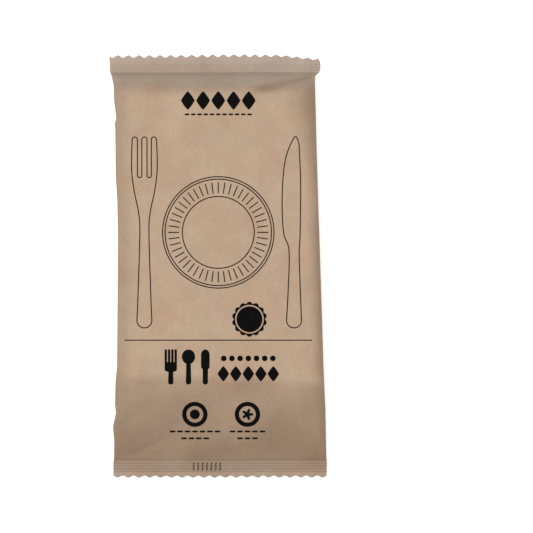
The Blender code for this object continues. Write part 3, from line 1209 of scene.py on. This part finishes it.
BOLD_HEIGHT = 15.5
BOLD_CENTRE_Y = -44.2
TINE_HEIGHT = 5.6
TINE_OVERLAP = 0.3  # of the tines and the fork's head
stem_height = BOLD_HEIGHT - TINE_HEIGHT
stem_y = BOLD_CENTRE_Y - TINE_HEIGHT / 2
tine_y = BOLD_CENTRE_Y + stem_height / 2 - TINE_OVERLAP / 2
printed += [
    lay_motif("print_bold_spoon", silhouette("motif", BOLD_HEIGHT, spoon_half), (-12.8, BOLD_CENTRE_Y), ink),
    lay_motif("print_bold_knife", silhouette("motif", BOLD_HEIGHT, knife_half), (-5.4, BOLD_CENTRE_Y), ink),
    lay_motif("print_bold_fork", silhouette("motif", stem_height, fork_half), (-20.6, stem_y), ink),
    lay_motif("print_bold_tines", silhouette("motif", TINE_HEIGHT + TINE_OVERLAP, lambda share: 0.52),
              (-20.6, tine_y), ink, 4, 1, (1.45, 0.0)),
]
print(len(printed), "printed pieces")

# %% [markdown]
# ## Knurl marks
#
# Where the fin runs into the tail crimp, its knurl shows through on the printed face as a small block of
# slanted dashes, bruised darker by the jaws. On the back, the same dashes run the whole length of the fin.

# %% Knurl
KNURL_COLUMNS = 7
KNURL_PITCH = 1.95
FIN_KNURL_PITCH = (1.7, 1.6)
KNURL_SLANT = math.radians(62)
HEAD_KNURL_PRESSURE = 0.35
knurl_centre = (FIN_LEFT + FIN_RIGHT) / 2
face_knurl = lay_motif(
    "face_knurl", bar("motif", 1.35, 0.6, KNURL_SLANT, 0.03, 0.05),
    (knurl_centre, (TAIL["first_rib"] + TAIL["crease"]) / 2 - 0.3), bruise,
    KNURL_COLUMNS, 3, (KNURL_PITCH, TAIL["rib_pitch"]),
)
head_knurl = lay_motif(
    "head_knurl", bar("motif", 0.9, 0.5, KNURL_SLANT, 0.01, 0.03),
    (-6.2, (HEAD["first_rib"] + HEAD["crease"]) / 2), paper, 3, 4, (1.2, HEAD["rib_pitch"]),
)
fin_knurl = lay_motif(
    "fin_knurl", bar("motif", 1.3, 0.6, KNURL_SLANT, 0.01, 0.035), (knurl_centre, 0.0), paper,
    KNURL_COLUMNS, int(2 * (HEAD["crease"] - HEAD_HEEL) / FIN_KNURL_PITCH[1]), FIN_KNURL_PITCH,
    onto=fin, side=-1.0,
)
store_even(head_knurl, FIN_CONTACT, HEAD_KNURL_PRESSURE)
store_even(fin_knurl, FIN_CONTACT, FIN_PRESSURE)
knurls = [face_knurl, head_knurl, fin_knurl]
print(len(knurls), "knurled patches")

# %% [markdown]
# ## Stage, light and camera
#
# The pack lies on a light table, the usual way to get a pure white ground: white acrylic with a little
# light coming through it, which takes away most of the shadow. A large soft light stands at the left, a
# weaker one at the right, and the surround is bright and even, so that the paper's own colour shows. The
# camera looks straight down from far away with a long lens, which keeps the outline free of perspective.

# %% Stage
FRAME_WIDTH = 235.9  # mm of the table that the picture shows
FRAME_CENTRE = (21.5, 0.0)
SILHOUETTE_HEIGHT = 6.5  # of the pack's widest outline, which the picture's scale is measured at
TABLE_GLOW = 0.3
BOARD_HALF = 2500.0
BOARD_CORNERS = ((-1, -1), (1, -1), (1, 1), (-1, 1))


def studio_board():
    """Matte white acrylic of a light table, with a little light coming through it."""
    material, tree, coordinates, shader = new_material("backlit white acrylic")
    cloud = mottle(tree, coordinates, (400.0, 400.0, 400.0))
    whites = {0: cloud, 6: linear("#F6F6F6"), 7: linear("#F9F9F9")}
    fill(tree, shader, {
        "Base Color": add(tree, MIX, whites, out=2, data_type="RGBA"),
        "Roughness": 0.9,
        "Emission Color": linear("#FFFFFF"),
        "Emission Strength": TABLE_GLOW,
    })
    return material


corners = [(BOARD_HALF * x, BOARD_HALF * y, 0.0) for x, y in BOARD_CORNERS]
board = new_object("studio_board", corners, [(0, 1, 2, 3)])
board.data.materials.append(studio_board())


def softbox(name, place, size, watts):
    """Square soft light in metres that looks at the middle of the pack."""
    light = bpy.data.lights.new(name, "AREA")
    light.shape = "SQUARE"
    light.size = size
    light.energy = watts
    made = bpy.data.objects.new(name, light)
    bpy.context.scene.collection.objects.link(made)
    made.location = place
    made.rotation_mode = "QUATERNION"
    made.rotation_quaternion = made.location.to_track_quat("Z", "Y")
    return made


softbox("key_softbox", (-0.50, 0.30, 1.20), 1.0, 9.0)
softbox("fill_softbox", (0.70, -0.20, 1.30), 1.0, 2.0)

world = bpy.data.worlds.new("even studio surround")
world.use_nodes = True
surround = world.node_tree.nodes["Background"]
surround.inputs["Color"].default_value = (1.0, 1.0, 1.0, 1.0)
surround.inputs["Strength"].default_value = 0.93
bpy.context.scene.world = world
bpy.context.scene.view_settings.view_transform = "Standard"

# %% Camera
lens = bpy.data.cameras.new("camera")
lens.lens = 150.0
lens.sensor_width = 36.0
distance = FRAME_WIDTH * MM * lens.lens / lens.sensor_width
camera = bpy.data.objects.new("camera", lens)
camera.location = (FRAME_CENTRE[0] * MM, FRAME_CENTRE[1] * MM, SILHOUETTE_HEIGHT * MM + distance)
lens.clip_end = 10.0
bpy.context.scene.collection.objects.link(camera)
bpy.context.scene.camera = camera
print("camera", round(distance, 3), "m above the pack")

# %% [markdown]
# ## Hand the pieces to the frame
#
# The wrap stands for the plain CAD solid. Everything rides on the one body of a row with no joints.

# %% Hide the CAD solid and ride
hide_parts("cutlery_pack")
for piece in (wrap, fin, *knurls, *printed):
    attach(piece, "root")
